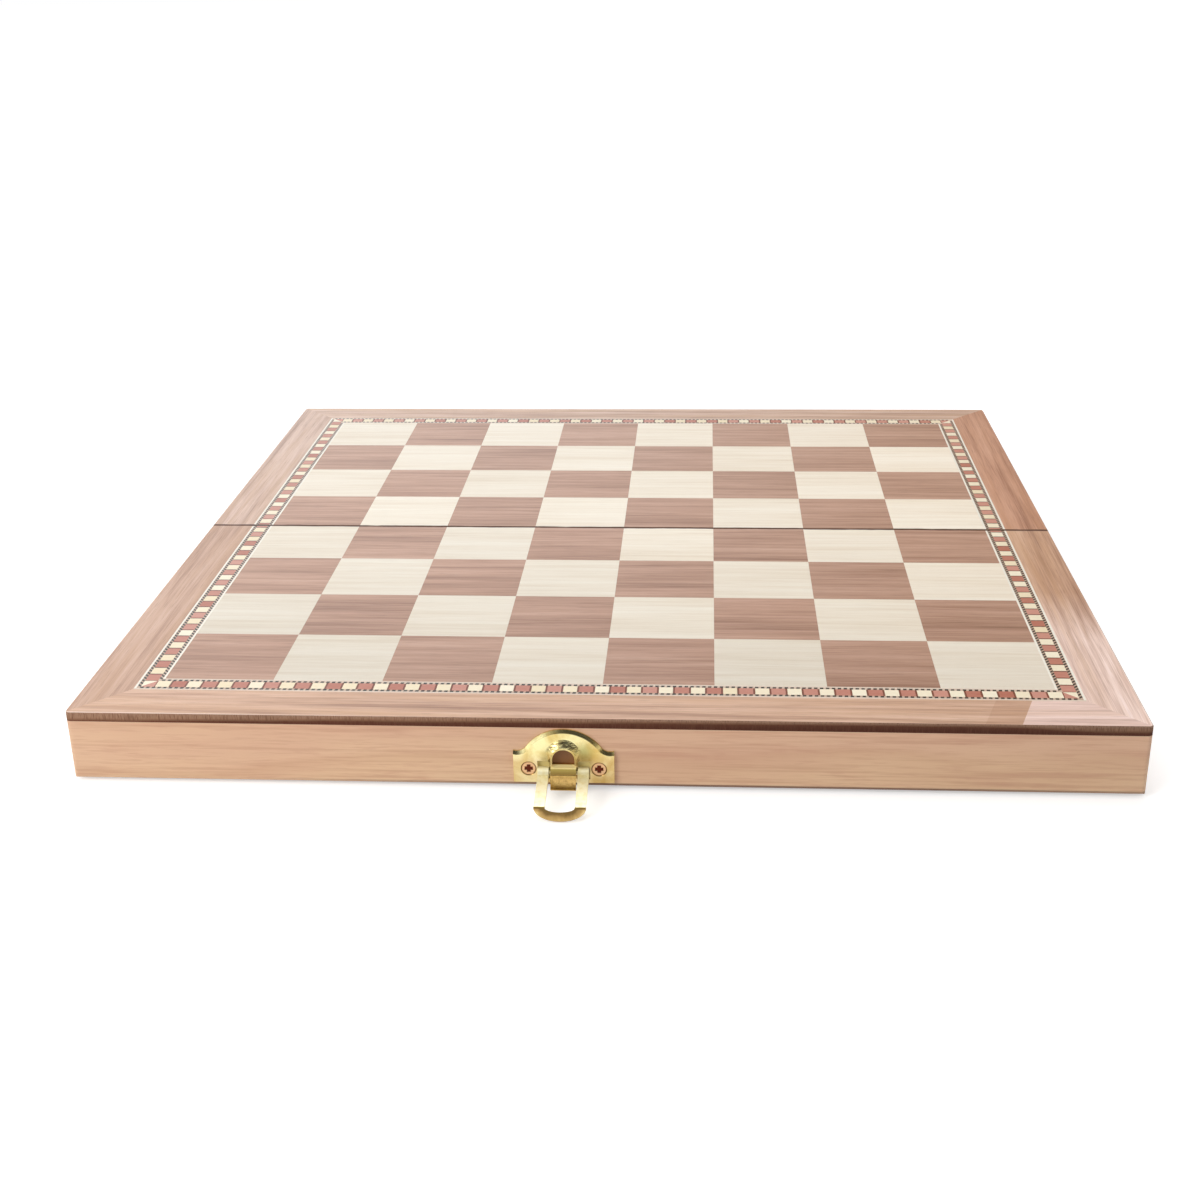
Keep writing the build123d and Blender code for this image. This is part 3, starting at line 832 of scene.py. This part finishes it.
bandLook = {
    "line": 0.65 * mm,
    "dashRow": 1.0 * mm,
    "dashPitch": 1.62 * mm,
    "dashLength": 0.95 * mm,
    "dashLean": {"long": 0.1 * mm, "left": 0.9 * mm, "right": 0.9 * mm},
    "joint": 0.55 * mm,
    "tiles": 57,  # between two corner tiles
    "bedDrop": 0.01 * mm,
    "seeds": {"near": 7, "far": 11},
    "lineTones": (0.85, 0.05, 0.05),  # the long strip's line is dull, those at the sides are bright
    "cornerTones": 0.5,
    "grain": ((0.6, 2.2, 2.2), 3),
    "grainBy": 0.6,
    "relief": 0.01 * mm,
    # each veneer's colours at tone 0 and at tone 1
    "veneers": {
        "cream_line_veneer": (tint(246, 241, 228), tint(222, 202, 184)),
        "dull_dash_ground": (tint(212, 190, 172), tint(184, 158, 138)),
        "black_dash_veneer": (tint(70, 60, 52), tint(40, 34, 30)),
        "brown_tile_joints": (tint(118, 60, 42), tint(86, 40, 30)),
        "cream_tile_veneer": (tint(250, 240, 216), tint(240, 222, 186)),
        "red_tile_veneer": (tint(206, 146, 130), tint(178, 104, 84)),
    },
}


def inlayMaterial(name):
    # every small piece has its own tone, held in the attribute "tone"
    material, tree, shader = lacquered(name)
    whole, x, y, z = millimetres(tree)
    tone = put(tree, "ShaderNodeAttribute", attribute_name="tone").outputs["Fac"]
    grain = pattern(tree, whole, *bandLook["grain"])
    tone = calc(tree, "MULTIPLY_ADD", centred(tree, grain), bandLook["grainBy"], tone)
    colour = mixed(tree, band(tree, tone, 0, 1), *bandLook["veneers"][name])
    colour = shadeBesideSeam(tree, colour, whole, y)
    dress(tree, shader, colour, grain, bandLook["relief"])
    return material


def placed(name, data):
    # an object at the origin, in the scene
    made = bpy.data.objects.new(name, data)
    bpy.context.scene.collection.objects.link(made)
    return made


def prisms(name, corners, bottom, top, tones, material):
    # corners is n x k x 2: n flat pieces of k corners each, carried from bottom to top
    count, sides = corners.shape[:2]
    low = np.concatenate([corners, np.full((count, sides, 1), bottom)], axis=2)
    high = np.concatenate([corners, np.full((count, sides, 1), top)], axis=2)
    points = np.concatenate([low, high], axis=1).reshape(-1, 3)
    first = np.arange(count)[:, None] * 2 * sides
    ring = np.arange(sides)
    following = (ring + 1) % sides
    walls = np.stack([ring, following, following + sides, ring + sides], axis=1)
    wallFaces = (first[:, :, None] + walls[None]).reshape(-1, 4).tolist()
    lids = np.concatenate([first + ring[::-1], first + sides + ring]).tolist()
    mesh = bpy.data.meshes.new(name)
    mesh.from_pydata(points.tolist(), [], wallFaces + lids)
    toneOf = mesh.attributes.new("tone", "FLOAT", "POINT")
    toneOf.data.foreach_set("value", np.repeat(tones, 2 * sides).astype(np.float32))
    mesh.materials.append(material)
    return placed(name, mesh)


def counterclockwise(corners):
    # the shoelace sum of each piece's corners is negative where they run clockwise; those are turned round
    x, y = corners[..., 0], corners[..., 1]
    area = np.sum(x * np.roll(y, -1, axis=1) - y * np.roll(x, -1, axis=1), axis=1)
    return np.where((area < 0)[:, None, None], corners[:, ::-1], corners)


def onEdge(edge, side, along, inward, outer):
    # a point of the band: a distance along one edge and a distance inward from the band's outer line
    reach = outer - inward
    x, y = {"long": (along, reach), "left": (-reach, along), "right": (reach, along)}[edge]
    return np.stack([x, side * y], axis=-1)


def bars(edge, side, starts, ends, low, high, outer, lean=0.0):
    # upright bars across the band, from one distance inward to another, sheared along by lean
    low, high = np.full(len(starts), low), np.full(len(starts), high)
    return np.stack([onEdge(edge, side, starts, low, outer), onEdge(edge, side, ends, low, outer),
                     onEdge(edge, side, ends + lean, high, outer),
                     onEdge(edge, side, starts + lean, high, outer)], axis=1)


def dashRow(side, rowLow, rowHigh, outer):
    # slanting dashes at an even pitch along the three strips of one row
    reach = outer - rowHigh
    steps = 2 * round(reach / bandLook["dashPitch"])
    starts = -reach + np.arange(steps) * 2 * reach / steps
    made = []
    for edge, lean in bandLook["dashLean"].items():
        own = starts if edge == "long" else starts[starts > -bandLook["dashLength"]]
        # the strips at the sides keep one slant from front to back
        lean = lean if edge == "long" else -side * lean
        made.append(bars(edge, side, own, own + bandLook["dashLength"], rowLow, rowHigh, outer, lean))
    return np.concatenate(made)


def tileRow(side, rowLow, rowHigh, outer, seam, colour):
    # every second tile of the row, with a joint's width between neighbours; colour is 0 for cream, 1 for red
    reach = outer - rowHigh
    index = np.arange(bandLook["tiles"])
    pitch = 2 * reach / bandLook["tiles"]
    starts = -reach + index * pitch + bandLook["joint"] / 2
    ends = starts + pitch - bandLook["joint"]
    made = []
    for edge in ("long", "left", "right"):
        # cream leads on the long edge, red on the side edges
        chosen = (index + (edge != "long")) % 2 == colour
        if edge != "long":
            chosen &= ends > seam
        made.append(bars(edge, side, starts[chosen], ends[chosen], rowLow, rowHigh, outer))
    return np.concatenate(made)


def inlaidBand(half, side, veneers):
    # from its outer edge inward: a line, a row of dashes, the tiles on their bed, a row of dashes and a line
    low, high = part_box(half + "_inlay_band")
    outer, inner = high.x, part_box(half + "_dark_squares")[1].x
    width, seam = outer - inner, min(abs(low.y), abs(high.y))
    outerRow = (bandLook["line"], bandLook["line"] + bandLook["dashRow"])
    innerRow = (width - outerRow[1], width - outerRow[0])
    tiles = (outerRow[1], innerRow[0])
    top, bed = high.z, high.z - bandLook["bedDrop"]
    rng = np.random.default_rng(bandLook["seeds"][half])

    def within(pieces):
        # nothing crosses the seam
        pieces[..., 1] = side * np.maximum(side * pieces[..., 1], seam)
        return counterclockwise(pieces)

    def frameOf(rowLow, rowHigh):
        # one long strip and two side strips that butt against it
        long, short = outer - rowLow, outer - rowHigh
        runs = (("long", -long, long), ("left", 0.0, short), ("right", 0.0, short))
        return np.concatenate([bars(edge, side, np.array([start]), np.array([end]), rowLow, rowHigh, outer)
                               for edge, start, end in runs])

    lines = within(np.concatenate([frameOf(0, outerRow[0]), frameOf(innerRow[1], width)]))
    grounds = within(np.concatenate([frameOf(*outerRow), frameOf(*innerRow)]))
    beds = within(frameOf(*tiles))
    dashes = within(np.concatenate([dashRow(side, *row, outer) for row in (outerRow, innerRow)]))
    made = [
        prisms(half + "_band_lines", lines, low.z, bed, np.tile(bandLook["lineTones"], 2),
               veneers["cream_line_veneer"]),
        prisms(half + "_band_dash_grounds", grounds, low.z, bed, rng.random(len(grounds)),
               veneers["dull_dash_ground"]),
        prisms(half + "_band_bed", beds, low.z, bed - bandLook["bedDrop"], rng.random(len(beds)),
               veneers["brown_tile_joints"]),
        prisms(half + "_band_dashes", dashes, bed - bandLook["bedDrop"] * 2, top, rng.random(len(dashes)),
               veneers["black_dash_veneer"]),
    ]
    corner, reach = outer - tiles[0], outer - tiles[1]
    for colour, name, own in ((0, "cream", (corner, reach)), (1, "red", (reach, corner))):
        veneer = veneers[name + "_tile_veneer"]
        pieces = within(tileRow(side, *tiles, outer, seam, colour))
        made.append(prisms(half + "_band_tiles_" + name, pieces, low.z, top, rng.random(len(pieces)), veneer))
        # each corner tile is halved along the mitre
        wedge = np.array([[(hand * x, side * y) for x, y in ((corner, corner), own, (reach, reach))]
                          for hand in (-1, 1)])
        made.append(prisms(half + "_band_corners_" + name, counterclockwise(wedge), low.z, top,
                           rng.random(2) * bandLook["cornerTones"], veneer))
    for piece in made:
        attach(piece, half + "_half")
        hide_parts(half + "_inlay_band")


bandVeneers = {name: inlayMaterial(name) for name in bandLook["veneers"]}
inlaidBand("near", -1, bandVeneers)
inlaidBand("far", 1, bandVeneers)
print("inlaid band made")


# Finishes on the carried-over pieces

def finish(material, *names):
    # the named nodes get this material alone
    for name in names:
        nodes[name].data.materials.clear()
        nodes[name].data.materials.append(material)


def bothHalves(*names):
    return [half + "_" + name for half in ("near", "far") for name in names]


finish(frameMaterial(), *bothHalves("frame_veneer"))
finish(squareMaterial("dark"), *bothHalves("dark_squares"))
finish(squareMaterial("light"), *bothHalves("light_squares"))
finish(fibreboardMaterial(), *bothHalves("panel"))
finish(pineMaterial("planed_pine_front", underClasp=True), "near_front_wall")
finish(pineMaterial("planed_pine_long"), "far_rear_wall", *bothHalves("hinge_wall"))
finish(pineMaterial("planed_pine_side", alongY=True), *bothHalves("left_wall", "right_wall"))
finish(trayMaterial("tray_lining_veneer"), *bothHalves("field_lining"))
finish(trayMaterial("dark_point_veneer"), *bothHalves("dark_points"))
finish(trayMaterial("light_point_veneer"), *bothHalves("light_points"))
finish(stampedMaterial("stamped_clasp_brass", "clasp_screws", withTongue=True), "clasp_plate")
finish(stampedMaterial("stamped_catch_brass", "catch_screws"), "catch_plate")
finish(loopMaterial(), "clasp_loop")
finish(brassMaterial("hinge_brass"), *bothHalves("hinge_leaf_left", "hinge_leaf_right"))
finish(brassMaterial("hinge_screw_brass"), *bothHalves("hinge_screws"))
finish(plateScrewMaterial("clasp_screw_brass", "clasp_screws"), "clasp_screws")
finish(plateScrewMaterial("catch_screw_brass", "catch_screws"), "catch_screws")
finish(steelMaterial(), "hinge_pin_left", "hinge_pin_right")
print("finishes given")


# Floor, light and camera

floorLook = {
    "halfSize": 4.0,
    "indirect": 0.8,  # grey that other surfaces are lit by
    "shade": 0.85,  # grey that the viewer sees
    "glowBand": (0.25, 0.6, 0.45, 1.2),  # near the board and far from it, where the lamps no longer reach
    "underOpenBoard": 0.02 * mm,
    "underClosedBoard": 0.05 * mm,
}


def grey(level):
    return (level, level, level, 1)


def seenByViewer(tree):
    # 1 for rays from the camera and those mirrored or let through on their way
    path = put(tree, "ShaderNodeLightPath").outputs
    others = calc(tree, "MAXIMUM", path["Is Glossy Ray"], path["Is Transmission Ray"])
    return calc(tree, "MAXIMUM", path["Is Camera Ray"], others)


def floorMaterial():
    # shown only while it faces up: each half turn of the board turns one floor away and the other up
    material = bpy.data.materials.new("pale_floor")
    tree = emptyTree(material)
    geometry = put(tree, "ShaderNodeNewGeometry").outputs
    upright = split(tree, geometry["Normal"])[2]
    front = calc(tree, "MULTIPLY_ADD", geometry["Backfacing"], -2.0, 1.0)  # 1 on the front and -1 on the back
    shown = above(tree, product(tree, upright, front), 0.5)
    plain = put(tree, "ShaderNodeBsdfDiffuse", {"Color": grey(floorLook["indirect"])}).outputs[0]
    shade = put(tree, "ShaderNodeBsdfDiffuse", {"Color": grey(floorLook["shade"])}).outputs[0]
    place = put(tree, "ShaderNodeTexCoord").outputs["Object"]
    away = put(tree, "ShaderNodeVectorMath", {0: place}, operation="LENGTH").outputs["Value"]
    strength = band(tree, away, *floorLook["glowBand"])
    glow = put(tree, "ShaderNodeEmission", {"Strength": strength}).outputs[0]
    white = put(tree, "ShaderNodeAddShader", {0: shade, 1: glow}).outputs[0]
    surface = put(tree, "ShaderNodeMixShader", {0: seenByViewer(tree), 1: plain, 2: white}).outputs[0]
    clear = put(tree, "ShaderNodeBsdfTransparent").outputs[0]
    whole = put(tree, "ShaderNodeMixShader", {0: shown, 1: clear, 2: surface}).outputs[0]
    put(tree, "ShaderNodeOutputMaterial", {"Surface": whole})
    return material


def floorSheet(name, height, facingUp, material):
    # a square round the origin, whose corners run the other way round where it faces down
    half = floorLook["halfSize"]
    corners = [(-half, -half, height), (half, -half, height), (half, half, height), (-half, half, height)]
    mesh = bpy.data.meshes.new(name)
    mesh.from_pydata(corners, [], [(0, 1, 2, 3) if facingUp else (3, 2, 1, 0)])
    mesh.materials.append(material)
    made = placed(name, mesh)
    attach(made, "far_half")


paleFloor = floorMaterial()
floorSheet("floor_under_open_board", cadBox[0].z - floorLook["underOpenBoard"], True, paleFloor)
floorSheet("floor_under_closed_board", cadBox[1].z + floorLook["underClosedBoard"], False, paleFloor)

worldLook = {
    "light": 0.42,
    # the bands are read from the parts of a unit vector: away from the clasp's side, sideways and up
    "horizon": 0.06,  # strength of the dark band that shiny brass sees low in front
    "frontBand": (-0.1, -0.45),
    "leftBand": (-0.5, -0.15),
    "lowBand": (-0.05, 0.05),
    "highBand": (0.75, 0.5),
    # what lacquer mirrors from behind the board: its strength from left to right, warm at the right
    "behindBand": (0.1, 0.4),
    "underBand": (0.8, 0.5),
    "glareBand": (-0.3, 0.16, 1.35, 0.65),
    "warmBand": (-0.05, 0.16),
    "warm": (1.0, 0.74, 0.55, 1.0),
}


def studioWorld():
    # even light, a dark band low in front and a glare behind: both only where brass or lacquer mirrors them
    world = bpy.data.worlds.new("studio")
    bpy.context.scene.world = world
    tree = emptyTree(world)
    mirrored = put(tree, "ShaderNodeLightPath").outputs["Is Glossy Ray"]
    sideways, away, up = split(tree, put(tree, "ShaderNodeTexCoord").outputs["Generated"])
    dark = product(tree, band(tree, away, *worldLook["frontBand"]),
                   band(tree, sideways, *worldLook["leftBand"]), band(tree, up, *worldLook["lowBand"]),
                   band(tree, up, *worldLook["highBand"]), mirrored)
    bright = band(tree, dark, 0, 1, 1.0, worldLook["horizon"])
    behind = product(tree, band(tree, away, *worldLook["behindBand"]),
                     band(tree, up, *worldLook["underBand"]), mirrored)
    glare = band(tree, sideways, *worldLook["glareBand"])
    bright = put(tree, "ShaderNodeMix", {0: behind, 2: bright, 3: glare}).outputs[0]
    seen = seenByViewer(tree)
    strength = put(tree, "ShaderNodeMix", {0: seen, 2: worldLook["light"], 3: bright}).outputs[0]
    warmth = product(tree, behind, band(tree, sideways, *worldLook["warmBand"]))
    colour = mixed(tree, warmth, grey(1), worldLook["warm"])
    background = put(tree, "ShaderNodeBackground", {"Color": colour, "Strength": strength})
    put(tree, "ShaderNodeOutputWorld", {"Surface": background.outputs[0]})


studioWorld()

lampLook = {
    # name: place, size and power; each looks at the board's middle
    "key_left": ((-0.62, -0.66, 0.5), 0.5, 5.1),
    "top_back": ((-0.1, 0.4, 1.1), 0.8, 5.2),
    "fill_right": ((0.9, -0.7, 0.6), 0.7, 1.5),
}


def lamp(name, place, size, power):
    # an area lamp turned so that its own -Z runs from its place to the origin
    data = bpy.data.lights.new(name, "AREA")
    data.size = size
    data.energy = power
    made = placed(name, data)
    made.location = place
    away = -np.array(place)
    made.rotation_euler = (math.atan2(math.hypot(away[0], away[1]), -away[2]), 0,
                           math.atan2(away[1], away[0]) - math.pi / 2)


for lampName, lampValues in lampLook.items():
    lamp(lampName, *lampValues)

cameraLook = {
    "place": (0.0272484, -0.5301088, 0.2186164),
    "turn": (66.9718, 0.9186, 3.4982),  # in degrees
    "lens": 48.9538,
    "sensor": 36.0,
    "near": 0.01,  # nothing closer than this is drawn
}
cameraData = bpy.data.cameras.new("camera")
cameraData.lens = cameraLook["lens"]
cameraData.sensor_width = cameraLook["sensor"]
cameraData.clip_start = cameraLook["near"]
camera = placed("camera", cameraData)
camera.location = cameraLook["place"]
camera.rotation_euler = [math.radians(angle) for angle in cameraLook["turn"]]
bpy.context.scene.camera = camera
bpy.context.scene.view_settings.view_transform = "Standard"
print("floor, light and camera placed")
